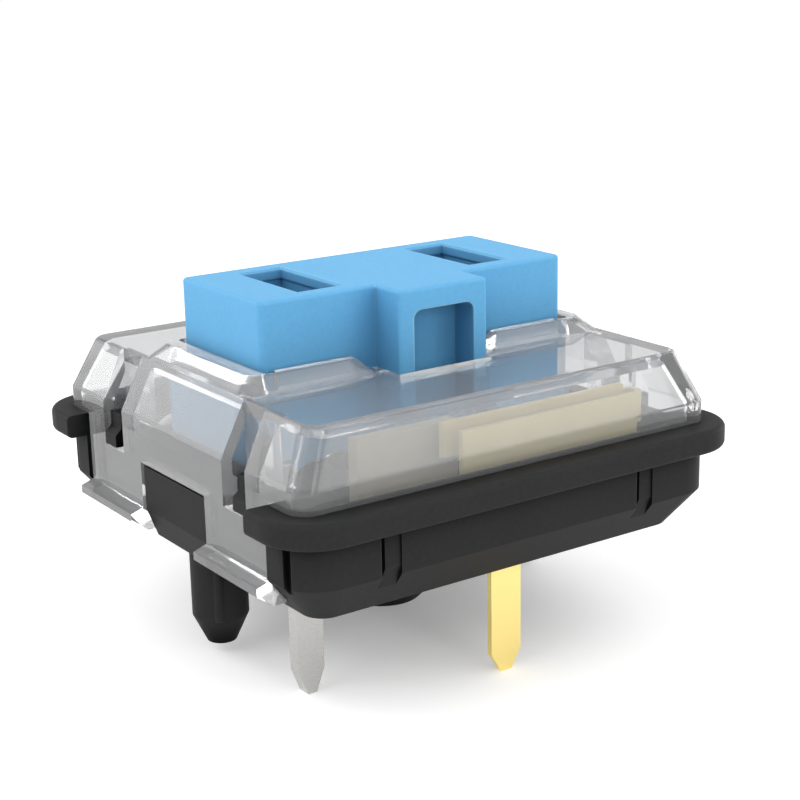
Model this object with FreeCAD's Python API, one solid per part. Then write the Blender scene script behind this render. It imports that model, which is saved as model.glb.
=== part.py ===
"""Low-profile keyboard switch with a two-slot stem, a clear cover and a black base.

Millimetres. The origin is the centre of the base's underside, which is the plane
of the circuit board. +Z is up, -Y is the side with the contacts, X is across.
"""
import FreeCAD, Part
import os
from math import cos, pi, radians, sin

# Footprint on the circuit board and in the mounting plate
CENTRE_POST_R = 1.68
CENTRE_POST_LENGTH = 2.65
CENTRE_POST_CHAMFER = 0.55
SIDE_POST_X = 5.5
SIDE_POST_R = 0.8
SIDE_POST_STRAIGHT = 1.85
SIDE_POST_LENGTH = 2.66
SIDE_POST_TIP_R = 0.42
CRUSH_RIB_R = 0.14
CRUSH_RIB_OFFSET = 0.74
CRUSH_RIB_ANGLES = (0, 120, 240)
PIN_LENGTH = 3.0

# Base: a tray with a flange along its front and back
BODY_HALF = 6.9
BODY_CORNER_R = 1.15
FOOT_HALF = 6.05
FOOT_CORNER_R = 0.6
CHAMFER_TOP = 1.08
FLANGE_BOTTOM = 2.35
FLANGE_TOP = 3.03
FLANGE_HALF = 7.5
FLANGE_CORNER_R = 1.57
FLANGE_EDGE_R = 0.16
FLOOR_TOP = 0.8
CAVITY_HALF_X = 5.75
CAVITY_HALF_Y = 6.1
CAVITY_CORNER_R = 0.5
LEG_BAY_HALF_Y = 5.18
LEG_BAY_X = 6.32
LATCH_HALF_Y = 1.75
LATCH_TOP = 2.26
LATCH_X = 6.76
LATCH_CHAMFER_TOP = 0.99
LATCH_FOOT = (6.44, 0.14)
LUG_BACK_Y = 3.4
LUG_X = 6.6
LUG_TOP = 3.33
LUG_FOOT_X = 6.8
LUG_SLOPE_TOP = 2.92
SLIT_X = ((-4.61, -4.46), (3.85, 4.0))
SLIT_DEPTH = 0.24
STRIP_END_X = (-4.0, 4.43)
STRIP_DEPTH = 0.05
STRIP_FOOT = 1.3
STRIP_END_Z = 0.7
CORNER_GROOVE_Y = (5.95, 6.2)
CORNER_GROOVE_DEPTH = 0.2
WELL_R = 1.25
WELL_FLOOR = -2.0
BOSS_R = 1.6
BOSS_TOP = 1.65
GUIDE_INNER_X = 5.12
GUIDE_Y = (1.93, 2.45)
LED_SLOT_HALF_X = 1.9
LED_SLOT_Y = (3.4, 5.7)

# Cover: a clear shell with a raised collar and two legs that clip into a plate
RIM_HALF_X = 6.8
RIM_HALF_Y = 6.65
RIM_TOP = 3.6
RIM_CORNER_R = 0.55
DECK_HALF_X = 6.12
DECK_HALF_Y = 6.2
DECK_TOP = 5.08
DECK_CORNER_R = 0.55
COVER_EDGE_R = 0.15
SHELL_HALF_X = 6.35
SHELL_HALF_Y = 6.2
SHELL_STEP = 3.5
SHELL_TOP_HALF_X = 5.78
SHELL_TOP_HALF_Y = 5.84
DECK_UNDERSIDE = 4.62
SHELL_CORNER_R = 0.35
COLLAR_FOOT_HALF_X = 6.05
COLLAR_FOOT_HALF_Y = 2.97
COLLAR_TOP_HALF_X = 5.62
COLLAR_TOP_HALF_Y = 2.57
COLLAR_TOP = 5.5
COLLAR_CORNER_R = 0.55
COLLAR_EDGE_R = 0.12
COLLAR_GAP_MARGIN = 0.53
STOP_FACE = 4.93
STOP_BAY_HALF_X = 5.65
STOP_BAY_HALF_Y = 2.6
GROOVE_Y = (2.89, 4.09)
GROOVE_BOTTOM = 2.35
GROOVE_BACK_X = 6.05
GROOVE_WALL = 0.36
LEG_HALF_Y = 5.15
LEG_INNER_X = 6.35
WINDOW_HALF_Y = 1.85
WINDOW_TOP = 2.35
CLIP_FACE = 1.02
CLIP_TIP_X = 7.2
CLIP_TIP_Z = (0.66, 0.88)
CLIP_FOOT = (6.7, 0.31)

# Stem
STEM_TOP = 7.33
BAR_HALF_X = 5.07
BAR_HALF_Y = 2.18
BAR_CORNER_R = 0.2
STEM_EDGE_R = 0.1
STEM_GAP = 0.08
NOSE_HALF_X = 1.47
NOSE_Y = -3.33
NOSE_BOTTOM = 4.2
HOOD_HALF_X = 1.0
HOOD_BACK_Y = -2.46
HOOD_TOP = 6.73
HOOD_CORNER_R = 0.25
SLOT_X = 2.85
SLOT_WIDTH = 1.36
SLOT_LENGTH = 3.2
SLOT_DEPTH = 3.0
SLOT_LIP = 0.33
SLOT_UNDERCUT = 0.06
SLOT_CHAMFER = 0.07
SHOULDER = 4.9
WING_HALF_X = 5.55
WING_HALF_Y = 1.85
SKIRT_BOTTOM = 2.9
SKIRT_WALL = 0.5
SPRING_SEAT = 4.0
POLE_R = 0.6
POLE_BOTTOM = 0.9
CAM_X = (1.8, 2.7)
CAM_NOSE_Y = -3.62
CAM_NOSE_Z = (2.85, 3.15)
CAM_WAIST_Y = -3.0
CAM_WAIST_Z = 3.75
CAM_Z = (2.7, 4.3)
TOOTH_HALF_X = 0.6
TOOTH_Y = 4.5
TOOTH_Z = (3.0, 4.1)

# Return spring
SPRING_MEAN_R = 0.95
SPRING_WIRE_R = 0.11
SPRING_TURNS = 6.5

# Contacts: the moving one is a thin strip folded into a U, the fixed one is thicker
LEAF = 0.18
GOLD_PIN_Y = -5.9
GOLD_PIN_HALF = 0.5
GOLD_PIN_SHOULDER = -2.45
GOLD_PIN_TIP_HALF = 0.17
FRONT_LIMB_Y = -5.72
FRONT_LIMB_X = (-1.38, 4.65)
FRONT_LIMB_TOP = 4.0
BACK_LIMB_Y = -5.15
BACK_LIMB_END_X = -1.6
BACK_LIMB_Z = (3.2, 4.15)
TONGUE_X = (1.75, 2.75)
TONGUE_Y = -3.72
TONGUE_Z = (2.8, 3.2)
PLATE = 0.42
GREY_PIN_X = -5.0
GREY_PIN_Y = -3.8
GREY_PIN_HALF = 0.4
GREY_PIN_SHOULDER = -2.33
GREY_PIN_TIP_HALF = 0.14
FIXED_PLATE_Y = -4.67
FIXED_PLATE_X = (-3.9, -0.7)
FIXED_PLATE_TOP = 3.98
POINT_X = -1.15
POINT_Z = 3.65
POINT_LENGTH = 0.6
POINT_THICK = 0.13

# Click bar
CLICK_WIRE_R = 0.17
CLICK_HALF_X = 4.55
CLICK_Y = 4.75
CLICK_Z = 2.4
CLICK_BEND_R = 0.5
CLICK_SOCKET_HALF = 0.45
CLICK_SOCKET_TOP = 1.7

# Sides of the ring that stands for a round wire, which keeps long wires light
WIRE_SIDES = 6

# Clearance between assembled pieces, reach of a cut past a face, and equality of two coordinates
FIT_GAP = 0.03
OVERRUN = 1.0
SAME = 1e-4

UP = FreeCAD.Vector(0, 0, 1)


def vec(x, y, z):
    return FreeCAD.Vector(x, y, z)


def box(x_range, y_range, z_range):
    """Block between the two ends given on each axis, in either order."""
    (x0, x1), (y0, y1), (z0, z1) = (sorted(ends) for ends in (x_range, y_range, z_range))
    return Part.makeBox(x1 - x0, y1 - y0, z1 - z0, vec(x0, y0, z0))


def rod(radius, z_range, x=0.0, y=0.0):
    z0, z1 = z_range
    return Part.makeCylinder(radius, z1 - z0, vec(x, y, z0), UP)


def cone(r_low, r_high, z_range, x=0.0, y=0.0):
    z0, z1 = z_range
    return Part.makeCone(r_low, r_high, z1 - z0, vec(x, y, z0), UP)


def rectangle(half_x, half_y, z):
    signs = ((-1, -1), (1, -1), (1, 1), (-1, 1), (-1, -1))
    return Part.makePolygon([vec(sx * half_x, sy * half_y, z) for sx, sy in signs])


def outline(half_x, half_y, radius, z):
    """Closed wire of a rectangle with rounded corners, centred on the Z axis."""
    plate = Part.makeBox(2 * half_x, 2 * half_y, 1.0, vec(-half_x, -half_y, z))
    upright = [e for e in plate.Edges if abs(e.Vertexes[0].Z - e.Vertexes[1].Z) > SAME]
    rounded = plate.makeFillet(radius, upright)
    bottom = min(rounded.Faces, key=lambda face: face.CenterOfMass.z)
    return bottom.OuterWire


def prism(wire, height):
    return Part.Face(wire).extrude(vec(0, 0, height))


def frustum(lower, upper):
    return Part.makeLoft([lower, upper], True, True)


def profile_xz(points, y_range):
    """Extrudes a polygon of (x, z) points along Y."""
    y0, y1 = sorted(y_range)
    corners = [vec(x, y0, z) for x, z in points]
    return Part.Face(Part.makePolygon(corners + corners[:1])).extrude(vec(0, y1 - y0, 0))


def profile_yz(points, x_range):
    """Extrudes a polygon of (y, z) points along X."""
    x0, x1 = sorted(x_range)
    corners = [vec(x0, y, z) for y, z in points]
    return Part.Face(Part.makePolygon(corners + corners[:1])).extrude(vec(x1 - x0, 0, 0))


def both_x(shape):
    return shape.fuse(shape.mirror(vec(0, 0, 0), vec(1, 0, 0)))


def both_y(shape):
    return shape.fuse(shape.mirror(vec(0, 0, 0), vec(0, 1, 0)))


def level_edges(shape, z):
    """Edges that lie flat at height z."""
    return [e for e in shape.Edges
            if abs(e.BoundBox.ZMin - z) < SAME and abs(e.BoundBox.ZMax - z) < SAME]


# Base

def base_block():
    """Tray body with its lead-in chamfer, and the flange with rounded edges."""
    foot = frustum(
        outline(FOOT_HALF, FOOT_HALF, FOOT_CORNER_R, 0.0),
        outline(BODY_HALF, BODY_HALF, BODY_CORNER_R, CHAMFER_TOP),
    )
    wall = prism(outline(BODY_HALF, BODY_HALF, BODY_CORNER_R, CHAMFER_TOP), FLANGE_TOP - CHAMFER_TOP)
    flange_foot = outline(FLANGE_HALF, FLANGE_HALF, FLANGE_CORNER_R, FLANGE_BOTTOM)
    flange = prism(flange_foot, FLANGE_TOP - FLANGE_BOTTOM)
    rims = level_edges(flange, FLANGE_BOTTOM) + level_edges(flange, FLANGE_TOP)
    return foot.fuse([wall, flange.makeFillet(FLANGE_EDGE_R, rims)])


def leg_bays():
    """Side recesses for the cover's legs."""
    return both_x(box((LEG_BAY_X, BODY_HALF + OVERRUN), (-LEG_BAY_HALF_Y, LEG_BAY_HALF_Y),
                      (-OVERRUN, FLANGE_TOP + OVERRUN)))


def latch_blocks():
    """Blocks that stand in the windows of the cover's legs."""
    foot_x, foot_z = LATCH_FOOT
    points = [(FOOT_HALF, LATCH_TOP), (LATCH_X, LATCH_TOP), (LATCH_X, LATCH_CHAMFER_TOP), (foot_x, foot_z),
              (FOOT_HALF, foot_z)]
    return both_x(profile_xz(points, (-LATCH_HALF_Y, LATCH_HALF_Y)))


def snap_lugs():
    """Lugs in the side grooves, each over one leg of the cover, with a lead-in slope."""
    inner = GROOVE_BACK_X + FIT_GAP
    foot = GROOVE_BOTTOM + FIT_GAP
    points = [(inner, foot), (LUG_FOOT_X, foot), (LUG_FOOT_X, LUG_SLOPE_TOP + LUG_X - LUG_FOOT_X),
              (LUG_X, LUG_SLOPE_TOP), (LUG_X, LUG_TOP), (inner, LUG_TOP)]
    return both_x(both_y(profile_xz(points, (LUG_BACK_Y, GROOVE_Y[1] - FIT_GAP))))


def wall_reliefs():
    """Grooves at the corners, and on the front and back walls two slits, each beside a shallow strip."""
    outer = -BODY_HALF - OVERRUN
    face = STRIP_DEPTH - BODY_HALF
    chamfer_y = -FOOT_HALF - STRIP_END_Z * (BODY_HALF - FOOT_HALF) / CHAMFER_TOP
    side = [(outer, FLANGE_BOTTOM), (face, FLANGE_BOTTOM), (face, STRIP_FOOT), (chamfer_y, STRIP_END_Z),
            (outer, STRIP_END_Z)]
    corner = box((BODY_HALF - CORNER_GROOVE_DEPTH, BODY_HALF + OVERRUN), CORNER_GROOVE_Y,
                 (-OVERRUN, FLANGE_BOTTOM))
    reliefs = [both_x(both_y(corner))]
    for (x0, x1), x2 in zip(SLIT_X, STRIP_END_X):
        strip = profile_yz(side, (x0, x2))
        left = vec(x0, -BODY_HALF, 0)
        keel = vec((x0 + x1) / 2, SLIT_DEPTH - BODY_HALF, 0)
        section = Part.makePolygon([left, vec(x1, -BODY_HALF, 0), keel, left])
        front = strip.fuse(prism(section, FLANGE_BOTTOM))
        back = front.copy()
        back.rotate(vec(0, 0, 0), UP, 180)
        reliefs += [front, back]
    return reliefs


def side_post():
    """Locating post with three crush ribs and a tapered tip."""
    core = rod(SIDE_POST_R, (-SIDE_POST_STRAIGHT, FLOOR_TOP / 2), SIDE_POST_X)
    tip = cone(SIDE_POST_TIP_R, SIDE_POST_R, (-SIDE_POST_LENGTH, -SIDE_POST_STRAIGHT), SIDE_POST_X)
    ribs = [
        rod(CRUSH_RIB_R, (-SIDE_POST_STRAIGHT, FLOOR_TOP / 2),
            SIDE_POST_X - CRUSH_RIB_OFFSET * cos(radians(angle)), CRUSH_RIB_OFFSET * sin(radians(angle)))
        for angle in CRUSH_RIB_ANGLES
    ]
    return core.fuse([tip] + ribs)


def centre_post():
    """Hollow post whose well holds the foot of the return spring."""
    shank = rod(CENTRE_POST_R, (CENTRE_POST_CHAMFER - CENTRE_POST_LENGTH, FLOOR_TOP))
    tip = cone(CENTRE_POST_R - CENTRE_POST_CHAMFER, CENTRE_POST_R,
               (-CENTRE_POST_LENGTH, CENTRE_POST_CHAMFER - CENTRE_POST_LENGTH))
    boss = rod(BOSS_R, (0.0, BOSS_TOP))
    return shank.fuse([tip, boss])


def click_sockets():
    reach = (CLICK_HALF_X - CLICK_SOCKET_HALF, CLICK_HALF_X + CLICK_SOCKET_HALF)
    depth = (CLICK_Y - CLICK_SOCKET_HALF, CLICK_Y + CLICK_SOCKET_HALF)
    return both_x(box(reach, depth, (0.0, CLICK_SOCKET_TOP)))


def floor_openings():
    """Slots for both pins and the light window, and the sockets' holes."""
    z_range = (-OVERRUN, FLOOR_TOP + OVERRUN)
    gold_half_x = GOLD_PIN_HALF + FIT_GAP
    gold_half_y = LEAF / 2 + FIT_GAP
    gold = box((-gold_half_x, gold_half_x), (GOLD_PIN_Y - gold_half_y, GOLD_PIN_Y + gold_half_y), z_range)
    grey_half_x = GREY_PIN_HALF + FIT_GAP
    grey_half_y = PLATE / 2 + FIT_GAP
    grey = box((GREY_PIN_X - grey_half_x, GREY_PIN_X + grey_half_x),
               (GREY_PIN_Y - grey_half_y, GREY_PIN_Y + grey_half_y), z_range)
    light = box((-LED_SLOT_HALF_X, LED_SLOT_HALF_X), LED_SLOT_Y, z_range)
    hole = rod(CLICK_WIRE_R + FIT_GAP, (FLOOR_TOP, CLICK_SOCKET_TOP + OVERRUN), CLICK_HALF_X, CLICK_Y)
    well = rod(WELL_R, (WELL_FLOOR, BOSS_TOP + OVERRUN))
    return gold.fuse([grey, light, both_x(hole), well])


def housing_base():
    tray = base_block().cut([leg_bays()] + wall_reliefs())
    cavity = prism(outline(CAVITY_HALF_X, CAVITY_HALF_Y, CAVITY_CORNER_R, FLOOR_TOP), FLANGE_TOP)
    guide_z = (FLOOR_TOP - FIT_GAP, FLANGE_TOP - FIT_GAP)
    guide = box((GUIDE_INNER_X, CAVITY_HALF_X + FIT_GAP), GUIDE_Y, guide_z)
    posts = [centre_post(), both_x(side_post()), both_x(both_y(guide)), click_sockets()]
    outside = [latch_blocks(), snap_lugs()]
    return tray.cut(cavity).fuse(posts + outside).cut(floor_openings()).removeSplitter()


# Cover

def beside_collar():
    """Wedges cut off beside the collar, where the sides lean in more than at the corners."""
    outer = RIM_HALF_X + OVERRUN
    top = DECK_TOP + OVERRUN
    points = [(RIM_HALF_X, RIM_TOP), (COLLAR_FOOT_HALF_X, DECK_TOP), (COLLAR_FOOT_HALF_X, top), (outer, top),
              (outer, RIM_TOP)]
    return both_x(profile_xz(points, (-GROOVE_Y[0], GROOVE_Y[0])))


def cover_outside():
    """Rim, sloped walls up to the deck, and the sloped collar on it."""
    rim = prism(outline(RIM_HALF_X, RIM_HALF_Y, RIM_CORNER_R, FLANGE_TOP), RIM_TOP - FLANGE_TOP)
    slope = frustum(
        outline(RIM_HALF_X, RIM_HALF_Y, RIM_CORNER_R, RIM_TOP),
        outline(DECK_HALF_X, DECK_HALF_Y, DECK_CORNER_R, DECK_TOP),
    )
    collar = frustum(
        outline(COLLAR_FOOT_HALF_X, COLLAR_FOOT_HALF_Y, COLLAR_CORNER_R, DECK_TOP),
        outline(COLLAR_TOP_HALF_X, COLLAR_TOP_HALF_Y, COLLAR_CORNER_R, COLLAR_TOP),
    )
    shell = rim.fuse(slope).removeSplitter()
    shell = shell.makeFillet(COVER_EDGE_R, level_edges(shell, DECK_TOP))
    collar = collar.makeFillet(COLLAR_EDGE_R, level_edges(collar, COLLAR_TOP))
    return shell.cut(beside_collar()), collar


def cover_hollow():
    """Space inside the cover, kept clear of the walls behind the side grooves."""
    low = prism(outline(SHELL_HALF_X, SHELL_HALF_Y, SHELL_CORNER_R, FLANGE_TOP), SHELL_STEP - FLANGE_TOP)
    high = frustum(
        outline(SHELL_HALF_X, SHELL_HALF_Y, SHELL_CORNER_R, SHELL_STEP),
        outline(SHELL_TOP_HALF_X, SHELL_TOP_HALF_Y, SHELL_CORNER_R, DECK_UNDERSIDE),
    )
    bay = box((-STOP_BAY_HALF_X, STOP_BAY_HALF_X), (-STOP_BAY_HALF_Y, STOP_BAY_HALF_Y),
              (SHELL_STEP, STOP_FACE))
    back_wall = box((GROOVE_BACK_X - GROOVE_WALL, RIM_HALF_X),
                    (GROOVE_Y[0] - GROOVE_WALL, GROOVE_Y[1] + GROOVE_WALL), (0, DECK_TOP))
    return low.fuse([high, bay]).cut(both_x(both_y(back_wall)))


def stem_opening():
    """Opening for the bar with relieved corners, and the notch for the stem's nose."""
    reach_x = BAR_HALF_X + STEM_GAP
    reach_y = BAR_HALF_Y + STEM_GAP
    z_range = (DECK_UNDERSIDE - OVERRUN, COLLAR_TOP + OVERRUN)
    bar = box((-reach_x, reach_x), (-reach_y, reach_y), z_range)
    corner = rod(BAR_CORNER_R, z_range, reach_x - BAR_CORNER_R, reach_y)
    notch_x = NOSE_HALF_X + STEM_GAP
    notch = box((-notch_x, notch_x), (NOSE_Y - STEM_GAP, 0), z_range)
    return bar.fuse([both_x(both_y(corner)), notch])


def collar_gap():
    """Gap with slanted ends in the front of the collar, where the nose passes."""
    foot = NOSE_HALF_X + COLLAR_GAP_MARGIN
    head = foot + (COLLAR_TOP - DECK_TOP)
    top = COLLAR_TOP + FIT_GAP
    points = [(-foot, DECK_TOP), (foot, DECK_TOP), (head, top), (-head, top)]
    return profile_xz(points, (-COLLAR_FOOT_HALF_Y - OVERRUN, -BAR_HALF_Y))


def cover_leg():
    """One side leg: a plate with a window and two feet with plate clips."""
    clip = [
        (LEG_INNER_X, RIM_TOP), (RIM_HALF_X, RIM_TOP), (RIM_HALF_X, CLIP_FACE), (CLIP_TIP_X, CLIP_TIP_Z[1]),
        (CLIP_TIP_X, CLIP_TIP_Z[0]), CLIP_FOOT, (LEG_INNER_X, CLIP_FOOT[1]),
    ]
    foot = profile_xz(clip, (WINDOW_HALF_Y, LEG_HALF_Y))
    web = box((LEG_INNER_X, RIM_HALF_X), (0, WINDOW_HALF_Y), (WINDOW_TOP, RIM_TOP))
    return both_y(foot.fuse(web))


def side_grooves():
    groove = box((GROOVE_BACK_X, CLIP_TIP_X + OVERRUN), GROOVE_Y, (GROOVE_BOTTOM, DECK_TOP + OVERRUN))
    return both_x(both_y(groove))


def housing_cover():
    shell, collar = cover_outside()
    body = shell.fuse([collar, both_x(cover_leg())])
    return body.cut([cover_hollow(), stem_opening(), collar_gap(), side_grooves()]).removeSplitter()


# Stem

def keycap_slot():
    """Slot for one leg of a keycap: a chamfered mouth, a lip and a wider depth."""
    half_x, half_y = SLOT_WIDTH / 2, SLOT_LENGTH / 2
    lip = box((-half_x, half_x), (-half_y, half_y), (STEM_TOP - SLOT_LIP - OVERRUN, STEM_TOP + OVERRUN))
    wide_x = half_x + SLOT_UNDERCUT
    wide_y = half_y + SLOT_UNDERCUT
    deep = box((-wide_x, wide_x), (-wide_y, wide_y), (STEM_TOP - SLOT_DEPTH, STEM_TOP - SLOT_LIP))
    mouth = frustum(
        rectangle(half_x, half_y, STEM_TOP - SLOT_CHAMFER),
        rectangle(half_x + SLOT_CHAMFER, half_y + SLOT_CHAMFER, STEM_TOP),
    )
    slot = lip.fuse([deep, mouth])
    slot.translate(vec(SLOT_X, 0, 0))
    return slot


def stem_head():
    """Bar and nose with rounded edges."""
    bar = prism(outline(BAR_HALF_X, BAR_HALF_Y, BAR_CORNER_R, SHOULDER), STEM_TOP - SHOULDER)
    nose = box((-NOSE_HALF_X, NOSE_HALF_X), (NOSE_Y, 0), (NOSE_BOTTOM, STEM_TOP))
    head = bar.fuse(nose).removeSplitter()
    front = [e for e in head.Edges
             if abs(e.CenterOfMass.y - NOSE_Y) < SAME and abs(abs(e.CenterOfMass.x) - NOSE_HALF_X) < SAME]
    head = head.makeFillet(STEM_EDGE_R, front)
    return head.makeFillet(STEM_EDGE_R, level_edges(head, STEM_TOP))


def nose_hood():
    """Recess in the front of the nose, open at its foot."""
    recess = box((-HOOD_HALF_X, HOOD_HALF_X), (NOSE_Y - OVERRUN, HOOD_BACK_Y),
                 (NOSE_BOTTOM - OVERRUN, HOOD_TOP))
    upper = [e for e in recess.Edges
             if abs(e.CenterOfMass.z - HOOD_TOP) < SAME and abs(abs(e.CenterOfMass.x) - HOOD_HALF_X) < SAME]
    return recess.makeFillet(HOOD_CORNER_R, upper)


def stem_skirt():
    """Part of the stem inside the housing: walls, side wings, spring pole, cam and click tooth."""
    body = box((-BAR_HALF_X, BAR_HALF_X), (-BAR_HALF_Y, BAR_HALF_Y), (SKIRT_BOTTOM, SHOULDER))
    wings = box((-WING_HALF_X, WING_HALF_X), (-WING_HALF_Y, WING_HALF_Y), (SKIRT_BOTTOM, SHOULDER))
    hollow_x = BAR_HALF_X - SKIRT_WALL
    hollow_y = BAR_HALF_Y - SKIRT_WALL
    hollow = box((-hollow_x, hollow_x), (-hollow_y, hollow_y), (SKIRT_BOTTOM, SPRING_SEAT))
    pole = rod(POLE_R, (POLE_BOTTOM, SPRING_SEAT))
    low, high = CAM_Z
    cam = profile_yz(
        [(-BAR_HALF_Y, high), (CAM_WAIST_Y, high), (CAM_WAIST_Y, CAM_WAIST_Z), (CAM_NOSE_Y, CAM_NOSE_Z[1]),
         (CAM_NOSE_Y, CAM_NOSE_Z[0]), (CAM_NOSE_Y + CAM_NOSE_Z[0] - low, low), (-BAR_HALF_Y, low)], CAM_X)
    low, high = TOOTH_Z
    tooth = profile_yz(
        [(BAR_HALF_Y, high), (TOOTH_Y, high), (TOOTH_Y, high - SKIRT_WALL), (BAR_HALF_Y, low)],
        (-TOOTH_HALF_X, TOOTH_HALF_X))
    return body.fuse(wings).cut(hollow).fuse([pole, cam, tooth])


def stem():
    body = stem_head().fuse(stem_skirt())
    return body.cut([both_x(keycap_slot()), nose_hood()]).removeSplitter()


# Spring, contacts and click bar

def wire_ring(radius, centre, across, along):
    """Closed ring for sweeping a wire, drawn in the plane of two directions."""
    turns = [2 * pi * side / WIRE_SIDES for side in range(WIRE_SIDES)]
    corners = [centre + across * (radius * cos(turn)) + along * (radius * sin(turn)) for turn in turns]
    return Part.makePolygon(corners + corners[:1])


def return_spring():
    """Compression spring between the well's floor and the stem."""
    bottom = WELL_FLOOR + SPRING_WIRE_R
    height = SPRING_SEAT - WELL_FLOOR - 2 * SPRING_WIRE_R
    path = Part.makeHelix(height / SPRING_TURNS, height, SPRING_MEAN_R)
    path.translate(vec(0, 0, bottom))
    ring = wire_ring(SPRING_WIRE_R, vec(SPRING_MEAN_R, 0, bottom), vec(1, 0, 0), UP)
    return Part.Wire(path).makePipeShell([ring], True, True)


def pin(x, y, half, thick, shoulder, tip_half, top):
    """Flat terminal pin with a pointed end."""
    points = [(x - half, top), (x + half, top), (x + half, shoulder), (x + tip_half, -PIN_LENGTH),
              (x - tip_half, -PIN_LENGTH), (x - half, shoulder)]
    return profile_xz(points, (y - thick / 2, y + thick / 2))


def moving_contact():
    """Thin leaf: pin and front limb, a U bend at the right, and a back limb with a tongue."""
    half = LEAF / 2
    x0, x1 = FRONT_LIMB_X
    floor_z = (FLOOR_TOP, FLOOR_TOP + LEAF)
    terminal = pin(0.0, GOLD_PIN_Y, GOLD_PIN_HALF, LEAF, GOLD_PIN_SHOULDER, GOLD_PIN_TIP_HALF, floor_z[1])
    jog = box((-GOLD_PIN_HALF, GOLD_PIN_HALF), (GOLD_PIN_Y - half, FRONT_LIMB_Y + half), floor_z)
    front = box((x0, x1), (FRONT_LIMB_Y - half, FRONT_LIMB_Y + half), (FLOOR_TOP, FRONT_LIMB_TOP))
    middle_y = (FRONT_LIMB_Y + BACK_LIMB_Y) / 2
    bend_r = (BACK_LIMB_Y - FRONT_LIMB_Y) / 2
    z_range = (BACK_LIMB_Z[0], FRONT_LIMB_TOP)
    bend = rod(bend_r + half, z_range, x1, middle_y).cut(rod(bend_r - half, z_range, x1, middle_y))
    bend = bend.common(box((x1, x1 + OVERRUN), (FRONT_LIMB_Y - OVERRUN, BACK_LIMB_Y + OVERRUN), z_range))
    back = box((BACK_LIMB_END_X, x1), (BACK_LIMB_Y - half, BACK_LIMB_Y + half), BACK_LIMB_Z)
    low, high = TONGUE_Z
    tongue = profile_yz(
        [(BACK_LIMB_Y - half, high + LEAF), (BACK_LIMB_Y - half, high - LEAF), (TONGUE_Y, low),
         (TONGUE_Y, low + LEAF), (BACK_LIMB_Y + half, high), (BACK_LIMB_Y + half, high + LEAF)], TONGUE_X)
    return terminal.fuse([jog, front, bend, back, tongue]).removeSplitter()


def fixed_contact():
    """Thick strip: pin, a foot on the floor and an upright plate that the leaf closes on."""
    foot_z = (FLOOR_TOP, FLOOR_TOP + PLATE)
    pin_right = GREY_PIN_X + GREY_PIN_HALF
    pin_back = GREY_PIN_Y + PLATE / 2
    terminal = pin(GREY_PIN_X, GREY_PIN_Y, GREY_PIN_HALF, PLATE, GREY_PIN_SHOULDER,
                   GREY_PIN_TIP_HALF, foot_z[1])
    arm = box((GREY_PIN_X - GREY_PIN_HALF, pin_right), (FIXED_PLATE_Y, pin_back), foot_z)
    bridge = box((pin_right, FIXED_PLATE_X[0]), (FIXED_PLATE_Y, FIXED_PLATE_Y + PLATE), foot_z)
    plate = box(FIXED_PLATE_X, (FIXED_PLATE_Y, FIXED_PLATE_Y + PLATE), (FLOOR_TOP, FIXED_PLATE_TOP))
    return terminal.fuse([arm, bridge, plate]).removeSplitter()


def moving_contact_point():
    """Small prism welded across the end of the leaf, its edge level."""
    face = BACK_LIMB_Y + LEAF / 2
    points = [(face, POINT_Z - POINT_THICK), (face, POINT_Z + POINT_THICK), (face + POINT_THICK, POINT_Z)]
    return profile_yz(points, (POINT_X - POINT_LENGTH / 2, POINT_X + POINT_LENGTH / 2))


def fixed_contact_point():
    """The same prism with its edge upright, so that the two cross each other."""
    base_z = POINT_Z - POINT_LENGTH / 2
    corners = [
        vec(POINT_X - POINT_THICK, FIXED_PLATE_Y, base_z),
        vec(POINT_X + POINT_THICK, FIXED_PLATE_Y, base_z),
        vec(POINT_X, FIXED_PLATE_Y - POINT_THICK, base_z),
    ]
    return prism(Part.makePolygon(corners + corners[:1]), POINT_LENGTH)


def click_bar():
    """Staple of spring wire: a long arm behind the stem and two feet in the base."""
    x, z = CLICK_HALF_X, CLICK_Z
    diagonal = CLICK_BEND_R * (1 - cos(radians(45)))
    foot_left = vec(-x, CLICK_Y, FLOOR_TOP)
    knee_left = vec(-x, CLICK_Y, z - CLICK_BEND_R)
    arm_left = vec(CLICK_BEND_R - x, CLICK_Y, z)
    arm_right = vec(x - CLICK_BEND_R, CLICK_Y, z)
    knee_right = vec(x, CLICK_Y, z - CLICK_BEND_R)
    foot_right = vec(x, CLICK_Y, FLOOR_TOP)
    path = Part.Wire([
        Part.LineSegment(foot_left, knee_left).toShape(),
        Part.Arc(knee_left, vec(diagonal - x, CLICK_Y, z - diagonal), arm_left).toShape(),
        Part.LineSegment(arm_left, arm_right).toShape(),
        Part.Arc(arm_right, vec(x - diagonal, CLICK_Y, z - diagonal), knee_right).toShape(),
        Part.LineSegment(knee_right, foot_right).toShape(),
    ])
    ring = wire_ring(CLICK_WIRE_R, foot_left, vec(0, 1, 0), vec(1, 0, 0))
    return path.makePipeShell([ring], True, True)


PARTS = (
    housing_base, housing_cover, stem, return_spring, moving_contact, fixed_contact,
    moving_contact_point, fixed_contact_point, click_bar,
)


def main():
    os.makedirs("parts", exist_ok=True)
    for build in PARTS:
        shape = build()
        solid = shape.Solids[0]
        print(build.__name__, len(shape.Solids), shape.isValid(), round(solid.Volume, 3))
        solid.exportStep("parts/" + build.__name__ + ".step")


main()
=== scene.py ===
"""Studio picture of a low-profile keyboard switch: blue stem, clear cover, black base."""

import math

import bpy
from mathutils import Matrix, Vector


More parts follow.
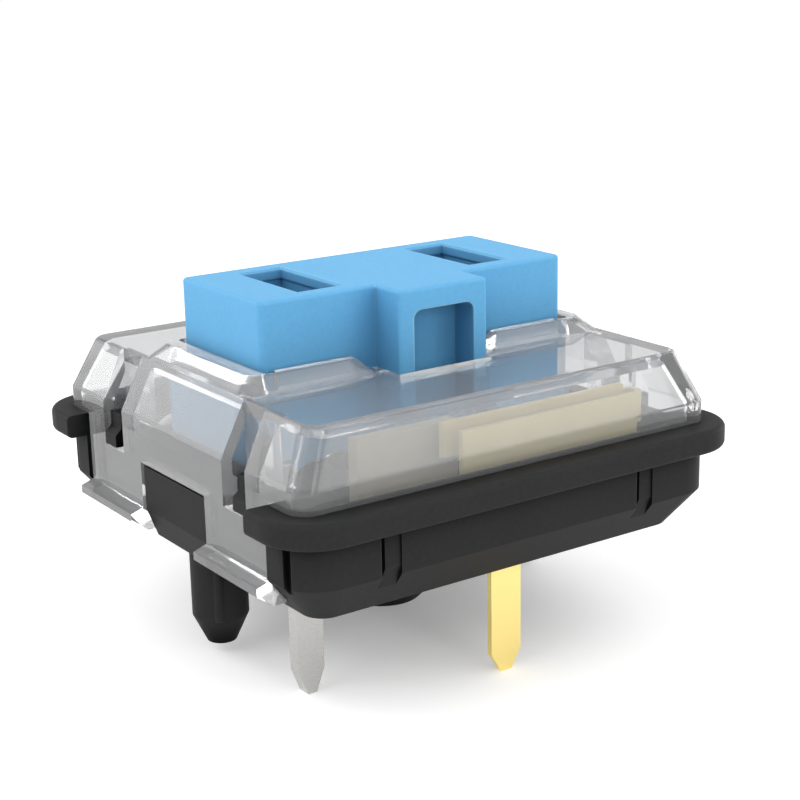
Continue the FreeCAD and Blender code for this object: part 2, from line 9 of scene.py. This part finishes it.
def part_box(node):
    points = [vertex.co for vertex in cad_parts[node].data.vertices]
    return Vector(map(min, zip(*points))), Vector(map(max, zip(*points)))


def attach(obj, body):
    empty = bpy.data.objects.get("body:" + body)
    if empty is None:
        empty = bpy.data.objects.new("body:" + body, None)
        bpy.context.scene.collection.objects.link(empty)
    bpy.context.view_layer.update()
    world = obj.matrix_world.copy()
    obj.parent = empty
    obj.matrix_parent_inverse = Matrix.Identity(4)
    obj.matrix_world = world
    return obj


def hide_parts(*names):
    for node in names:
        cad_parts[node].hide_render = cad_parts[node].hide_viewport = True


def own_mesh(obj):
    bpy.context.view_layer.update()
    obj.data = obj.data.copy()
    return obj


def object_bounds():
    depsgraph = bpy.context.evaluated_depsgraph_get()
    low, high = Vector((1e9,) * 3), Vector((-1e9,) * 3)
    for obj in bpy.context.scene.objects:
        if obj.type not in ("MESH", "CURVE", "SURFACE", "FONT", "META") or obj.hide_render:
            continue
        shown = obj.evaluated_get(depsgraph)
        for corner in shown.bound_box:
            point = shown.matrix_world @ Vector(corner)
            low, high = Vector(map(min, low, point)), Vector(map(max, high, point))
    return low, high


MM = 0.001
WHITE = (1, 1, 1, 1)
QUARTER_TURN = math.radians(90)

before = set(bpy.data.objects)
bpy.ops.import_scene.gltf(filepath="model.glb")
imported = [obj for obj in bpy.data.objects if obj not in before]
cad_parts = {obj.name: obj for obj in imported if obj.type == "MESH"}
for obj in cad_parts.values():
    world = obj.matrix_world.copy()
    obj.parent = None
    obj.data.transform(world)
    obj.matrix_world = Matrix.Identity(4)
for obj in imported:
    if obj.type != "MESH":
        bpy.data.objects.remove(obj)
cad_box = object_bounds()
bpy.ops.object.select_all(action="DESELECT")
scene = bpy.context.scene
scene.view_settings.view_transform = "Standard"


# Camera

SENSOR_WIDTH = 36.0
NEAREST_SEEN = 0.001
FARTHEST_SEEN = 10.0


def turned_camera(azimuth, elevation, roll, lens, place):
    """Camera at a place, looking down by elevation and turned about its own axis by roll, in degrees."""
    a, e, r = (math.radians(angle) for angle in (azimuth, elevation, roll))
    back = Vector((math.sin(a) * math.cos(e), -math.cos(a) * math.cos(e), math.sin(e)))
    level = (-back).cross(Vector((0, 0, 1))).normalized()
    upright = level.cross(-back)
    right = level * math.cos(r) + upright * math.sin(r)
    up = upright * math.cos(r) - level * math.sin(r)
    data = bpy.data.cameras.new("camera")
    data.lens = lens
    data.sensor_width = SENSOR_WIDTH
    data.clip_start = NEAREST_SEEN
    data.clip_end = FARTHEST_SEEN
    camera = bpy.data.objects.new("camera", data)
    turn = Matrix((right, up, back)).transposed()
    camera.matrix_world = Matrix.Translation(place) @ turn.to_4x4()
    scene.collection.objects.link(camera)
    scene.camera = camera


turned_camera(azimuth=-34.498, elevation=15.732, roll=-1.209, lens=75.607,
              place=Vector((-26.175, -39.219, 16.617)) * MM)


# Materials

GRAIN_SIZE = 0.13 * MM
RELIEF = 0.01 * MM


class Number:
    """Socket of a node that takes part in sums as a plain number does."""

    def __init__(self, finish, socket):
        self.finish = finish
        self.socket = socket

    def maths(self, operation, first, second):
        return self.finish.add("ShaderNodeMath", {"operation": operation}, {0: first, 1: second})

    def __add__(self, other):
        return self.maths("ADD", self, other)

    def __sub__(self, other):
        return self.maths("SUBTRACT", self, other)

    def __rsub__(self, other):
        return self.maths("SUBTRACT", other, self)

    def __mul__(self, other):
        return self.maths("MULTIPLY", self, other)

    __radd__ = __add__
    __rmul__ = __mul__

    def step(self, start, end):
        """From 0 at start to 1 at end, with soft ends."""
        return self.finish.add("ShaderNodeMapRange", {"interpolation_type": "SMOOTHSTEP"},
                               {"Value": self, "From Min": start, "From Max": end})


class Finish:
    """Nodes of a material, or of the world."""

    def __init__(self, owner, output="ShaderNodeOutputMaterial"):
        owner.use_nodes = True
        self.owner = owner
        self.tree = owner.node_tree
        self.tree.nodes.clear()
        self.out = self.tree.nodes.new(output)

    def add(self, kind, settings=None, inputs=None, output=0):
        """Output of a new node with these settings and inputs, which are plain values or earlier outputs."""
        node = self.tree.nodes.new(kind)
        for name, value in (settings or {}).items():
            setattr(node, name, value)
        for name, value in (inputs or {}).items():
            if isinstance(value, Number):
                self.tree.links.new(value.socket, node.inputs[name])
            else:
                node.inputs[name].default_value = value
        return Number(self, node.outputs[output])

    def place(self):
        return self.add("ShaderNodeTexCoord", output="Object")

    def height(self):
        return self.add("ShaderNodeSeparateXYZ", None, {"Vector": self.place()}, "Z")

    def noise(self, size, detail=2.0, place=None):
        """Cloudy pattern from 0 to 1 whose lumps are about size metres across."""
        return self.add("ShaderNodeTexNoise", None,
                        {"Vector": place or self.place(), "Scale": 1 / size, "Detail": detail})

    def rounded(self, radius, samples):
        """Direction of the surface with its edges rounded to a radius."""
        return self.add("ShaderNodeBevel", {"samples": samples}, {"Radius": radius})

    def bump(self, pattern, strength, rounded=None):
        """Direction of the surface with a pattern pressed into it, after its edges are rounded."""
        under = {"Normal": rounded} if rounded else {}
        return self.add("ShaderNodeBump", None,
                        {"Strength": strength, "Distance": RELIEF, "Height": pattern, **under})

    def openness_for_painted_shade(self, reach):
        """From 0 deep in a corner to 1 where nothing stands within reach metres: the mask for painted shade.
        """
        return self.add("ShaderNodeAmbientOcclusion", {"samples": 8}, {"Distance": reach}, output=1)

    def edges(self, rounded):
        """From 0 on a flat face to 1 on its edges, where the rounded direction leaves the face's own: the
        mask for painted highlights.
        """
        face = self.add("ShaderNodeNewGeometry", output="True Normal")
        alike = self.add("ShaderNodeVectorMath", {"operation": "DOT_PRODUCT"},
                         {0: rounded, 1: face}, output=1)
        return (1 - alike).step(0.005, 0.09)

    def seen(self):
        """1 for what the camera, a mirror or a clear wall shows, and 0 for light that falls on things."""
        camera, mirror, through = (self.add("ShaderNodeLightPath", output=name)
                                   for name in ("Is Camera Ray", "Is Glossy Ray", "Is Transmission Ray"))
        return self.add("ShaderNodeMath", {"operation": "ADD", "use_clamp": True},
                        {0: camera + mirror, 1: through})

    def tint(self, factor, first, second):
        """Colour between two others, each given as three numbers or as an earlier tint."""
        ends = {name: colour if isinstance(colour, Number) else (*colour, 1)
                for name, colour in (("A", first), ("B", second))}
        return self.add("ShaderNodeMix", {"data_type": "RGBA"}, {"Factor": factor, **ends}, output=2)

    def moulded(self, mottle, rounded, unshaded, corner, face, painted_highlight):
        """Colour of a moulding: mottled between two tones, with a painted highlight on its edges and painted
        shade in its corners.
        """
        return self.tint(unshaded, corner, self.tint(self.edges(rounded), self.tint(mottle, *face), painted_highlight))

    def surface(self, **inputs):
        return self.add("ShaderNodeBsdfPrincipled", None, {k.replace("_", " "): v for k, v in inputs.items()})

    def finish(self, shader):
        self.tree.links.new(shader.socket, self.out.inputs["Surface"])
        return self.owner


def new_finish(name):
    return Finish(bpy.data.materials.new(name))


def black_nylon():
    paint = new_finish("black_nylon")
    grain = paint.noise(GRAIN_SIZE, detail=4.0)
    cloud = paint.noise(2.5 * MM)
    rounded = paint.rounded(0.05 * MM, samples=6)
    shader = paint.surface(
        Base_Color=paint.moulded(
            0.4 * cloud + 0.6 * grain, rounded, paint.openness_for_painted_shade(1.2 * MM).step(0.45, 0.95),
            # Darkest tone is painted shade in corners and creases; the palest tone is a painted highlight
            # along the edges.
            corner=(0.006, 0.006, 0.006),
            face=((0.027, 0.027, 0.0275), (0.044, 0.044, 0.0445)),
            painted_highlight=(0.065, 0.065, 0.066),
        ),
        Roughness=0.42 + 0.1 * cloud,
        Specular_IOR_Level=0.03,
        Normal=paint.bump(grain, 0.12, rounded),
    )
    return paint.finish(shader)


def clear_shell():
    """Clear moulding that lets part of the lamps' light through."""
    paint = new_finish("clear_shell")
    haze = paint.noise(1.2 * MM)
    shader = paint.surface(
        Base_Color=(0.79, 0.795, 0.8, 1),
        Roughness=0.02 + 0.02 * haze,
        IOR=1.36,
        Transmission_Weight=0.84,
    )
    lamp_ray = paint.add("ShaderNodeLightPath", output="Is Shadow Ray")
    clear = paint.add("ShaderNodeBsdfTransparent", None, {"Color": (0.45, 0.45, 0.45, 1)})
    return paint.finish(paint.add("ShaderNodeMixShader", None, {0: lamp_ray, 1: shader, 2: clear}))


def sky_acetal():
    paint = new_finish("sky_acetal")
    grain = paint.noise(GRAIN_SIZE, detail=4.0)
    cloud = paint.noise(2.0 * MM)
    rounded = paint.rounded(0.1 * MM, samples=8)
    shader = paint.surface(
        Base_Color=paint.moulded(
            0.4 * cloud + 0.6 * grain, rounded, paint.openness_for_painted_shade(2.5 * MM).step(0.2, 0.95),
            # Darkest tone is painted shade in corners and recesses; the palest tone is a painted highlight
            # along the edges.
            corner=(0.09, 0.28, 0.48),
            face=((0.13, 0.45, 0.78), (0.2, 0.57, 0.94)),
            painted_highlight=(0.34, 0.72, 0.98),
        ),
        Roughness=0.48 + 0.08 * cloud,
        Specular_IOR_Level=0.1,
        Subsurface_Weight=0.08,
        Subsurface_Scale=0.2 * MM,
        Normal=paint.bump(grain, 0.18, rounded),
    )
    return paint.finish(shader)


def plated_strip(name, inside, outside, roughness):
    """Rolled metal strip with fine lines along its length: dull inside the housing, bright on the pins."""
    paint = new_finish(name)
    cloud = paint.noise(0.8 * MM)
    pins = 1 - paint.height().step(-0.3 * MM, 0.6 * MM)
    along = paint.add("ShaderNodeMapping", None, {"Vector": paint.place(), "Scale": (0.06, 1, 1)})
    rolled = paint.noise(0.05 * MM, place=along)
    metal = [paint.tint(cloud, colour, [0.95 * part for part in colour]) for colour in (inside, outside)]
    shader = paint.surface(
        Base_Color=paint.tint(pins, *metal),
        Metallic=0.3 + 0.6 * pins,
        Roughness=roughness + 0.2 + 0.05 * rolled - 0.2 * pins,
        Normal=paint.bump(rolled, 0.03),
    )
    return paint.finish(shader)


gold_strip = plated_strip("gold_strip", inside=(0.84, 0.71, 0.31), outside=(1.0, 0.8, 0.3), roughness=0.22)
tin_strip = plated_strip("tin_strip", inside=(0.56, 0.51, 0.34), outside=(0.53, 0.52, 0.505), roughness=0.25)
point_gold = plated_strip("point_gold", inside=(0.9, 0.72, 0.35), outside=(0.9, 0.72, 0.35), roughness=0.2)
bright_wire = plated_strip("bright_wire", inside=(0.6, 0.6, 0.6), outside=(0.6, 0.6, 0.6), roughness=0.2)
NODE_FINISHES = {
    "housing_base": black_nylon(),
    "housing_cover": clear_shell(),
    "stem": sky_acetal(),
    "moving_contact": gold_strip,
    "fixed_contact": tin_strip,
    "moving_contact_point": point_gold,
    "fixed_contact_point": point_gold,
}
for node, material in NODE_FINISHES.items():
    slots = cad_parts[node].data.materials
    slots.clear()
    slots.append(material)


# Wires

RING_CORNERS = 16
STEPS_IN_TURN = 40
STEPS_IN_BEND = 8
SMOOTH_BELOW = math.radians(40)

SPRING_WIRE_R = 0.11 * MM
SPRING_R = 0.95 * MM
CLOSED_RISE = 2.2 * SPRING_WIRE_R
ACTIVE_TURNS = 8.0

STAPLE_WIRE_R = 0.17 * MM
STAPLE_BEND_R = 0.5 * MM


def wire_end(name, radius, centre, turn):
    """Round wire's end in edit mode, turned from the horizontal, with all of it selected."""
    bpy.ops.mesh.primitive_circle_add(vertices=RING_CORNERS, radius=radius, location=centre,
                                      rotation=turn, enter_editmode=True)
    ring = bpy.context.object
    ring.name = name
    return ring


def put_place_in_mesh():
    """Leaves edit mode and moves the object's place and turn into its mesh."""
    bpy.ops.object.mode_set(mode="OBJECT")
    bpy.ops.object.transform_apply(location=True, rotation=True, scale=True)


def close_ends():
    bpy.ops.mesh.select_all(action="SELECT")
    bpy.ops.mesh.remove_doubles(threshold=1e-7)
    bpy.ops.mesh.select_all(action="DESELECT")
    bpy.ops.mesh.select_non_manifold(extend=False)
    bpy.ops.mesh.fill()
    bpy.ops.mesh.select_all(action="SELECT")
    bpy.ops.mesh.normals_make_consistent(inside=False)


def finish_wire(piece):
    """Leaves edit mode, smooths the wire and gives it its material."""
    put_place_in_mesh()
    piece.data.materials.append(bright_wire)
    bpy.ops.object.shade_smooth_by_angle(angle=SMOOTH_BELOW)
    bpy.ops.object.select_all(action="DESELECT")


def coil(name, foot, rise, turns):
    """Turns of the spring about the Z axis from height foot up to foot + rise."""
    ring = wire_end(name, SPRING_WIRE_R, (SPRING_R, 0, foot), (QUARTER_TURN, 0, 0))
    put_place_in_mesh()
    screw = ring.modifiers.new("turns", "SCREW")
    screw.axis = "Z"
    screw.angle = 2 * math.pi * turns
    screw.screw_offset = rise
    screw.steps = screw.render_steps = int(STEPS_IN_TURN * turns)
    bpy.ops.object.modifier_apply(modifier=screw.name)
    return ring


def coil_spring():
    """Compression spring with a closed turn at each end."""
    low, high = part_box("return_spring")
    foot = low.z + SPRING_WIRE_R
    top = high.z - SPRING_WIRE_R
    parts = [
        coil("coil_spring", foot, CLOSED_RISE, 1.0),
        coil("active_turns", foot + CLOSED_RISE, top - foot - 2 * CLOSED_RISE, ACTIVE_TURNS),
        coil("upper_turn", top - CLOSED_RISE, CLOSED_RISE, 1.0),
    ]
    for part in parts:
        part.select_set(True)
    bpy.context.view_layer.objects.active = parts[0]
    bpy.ops.object.join()
    bpy.ops.object.mode_set(mode="EDIT")
    close_ends()
    finish_wire(parts[0])
    return parts[0]


def click_staple():
    """Spring wire bent into a staple: up, across behind the stem, and down again."""
    low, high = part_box("click_bar")
    leg_x = high.x - STAPLE_WIRE_R
    y = (low.y + high.y) / 2
    bend_x = leg_x - STAPLE_BEND_R
    bend_z = high.z - STAPLE_WIRE_R - STAPLE_BEND_R
    piece = wire_end("click_staple", STAPLE_WIRE_R, (-leg_x, y, low.z), (0, 0, 0))

    def straight(x, z):
        bpy.ops.mesh.extrude_region_move(TRANSFORM_OT_translate={"value": (x, 0, z)})

    def bend(x):
        bpy.ops.mesh.spin(steps=STEPS_IN_BEND, angle=-QUARTER_TURN, center=(x, y, bend_z), axis=(0, 1, 0))

    straight(0, bend_z - low.z)
    bend(-bend_x)
    straight(2 * bend_x, 0)
    bend(bend_x)
    straight(0, low.z - bend_z)
    close_ends()
    finish_wire(piece)
    return piece


spring = coil_spring()
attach(spring, "housing")
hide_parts("return_spring")
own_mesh(spring)

staple = click_staple()
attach(staple, "housing")
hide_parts("click_bar")


# Studio

FLOOR_WIDTH = 4.0
FLOOR_GREY = 0.85
# The floor glows less near the switch than far away: a painted shadow that deepens the switch's own.
GLOW_IN_PAINTED_SHADOW = 0.2
GLOW_GAIN = 0.27
GLOW_STARTS = 1.5 * MM
GLOW_FULL = 8.5 * MM
WORLD_LIGHT = 0.62
LAMP_DISTANCE = 0.2


def white_floor():
    """Floor that the object stands on: white to the camera, with the object's shadow kept and a painted
    shadow added near it, where the floor's glow is weaker.
    """
    bpy.ops.mesh.primitive_plane_add(size=FLOOR_WIDTH, location=(0, 0, cad_box[0][2]))
    floor = bpy.context.object
    floor.name = "floor"
    paint = new_finish("white_floor")
    matt = paint.add("ShaderNodeBsdfDiffuse", None, {"Color": (FLOOR_GREY, FLOOR_GREY, FLOOR_GREY, 1)})
    away = paint.add("ShaderNodeVectorMath", {"operation": "LENGTH"}, {0: paint.place()}, output=1)
    # Glow weaker close to the switch: painted shadow under it.
    strength = (GLOW_IN_PAINTED_SHADOW + GLOW_GAIN * away.step(GLOW_STARTS, GLOW_FULL)) * paint.seen()
    glow = paint.add("ShaderNodeEmission", None, {"Color": WHITE, "Strength": strength})
    floor.data.materials.append(paint.finish(paint.add("ShaderNodeAddShader", None, {0: matt, 1: glow})))
    bpy.ops.object.select_all(action="DESELECT")


def studio_world():
    """White surroundings that shine on things less than they are seen."""
    paint = Finish(bpy.data.worlds.new("studio"), "ShaderNodeOutputWorld")
    light = paint.add("ShaderNodeBackground", None, {"Color": WHITE, "Strength": WORLD_LIGHT})
    white = paint.add("ShaderNodeBackground", None, {"Color": WHITE, "Strength": 1.0})
    scene.world = paint.finish(paint.add("ShaderNodeMixShader", None, {0: paint.seen(), 1: light, 2: white}))


def soft_lamp(name, toward, width, height, watts):
    """Lamp at LAMP_DISTANCE in the direction toward, as seen from the switch, and facing it."""
    data = bpy.data.lights.new(name, "AREA")
    data.shape = "RECTANGLE"
    data.size = width
    data.size_y = height
    data.energy = watts
    lamp = bpy.data.objects.new(name, data)
    away = Vector(toward).normalized()
    place = Matrix.Translation(away * LAMP_DISTANCE)
    lamp.matrix_world = place @ away.to_track_quat("Z", "Y").to_matrix().to_4x4()
    scene.collection.objects.link(lamp)


white_floor()
studio_world()
soft_lamp("side_lamp", (-0.76, 0.0, 0.65), width=0.14, height=0.14, watts=0.1)
soft_lamp("top_lamp", (0.5, -0.25, 0.83), width=0.09, height=0.09, watts=0.045)
soft_lamp("front_lamp", (0.0, -0.94, 0.33), width=0.05, height=0.09, watts=0.045)
soft_lamp("left_panel", (-0.42, 0.8, 0.4), width=0.09, height=0.16, watts=0.095)
soft_lamp("right_panel", (0.95, -0.1, 0.14), width=0.12, height=0.06, watts=0.08)
soft_lamp("front_panel", (0.545, -0.81, 0.217), width=0.06, height=0.06, watts=0.035)
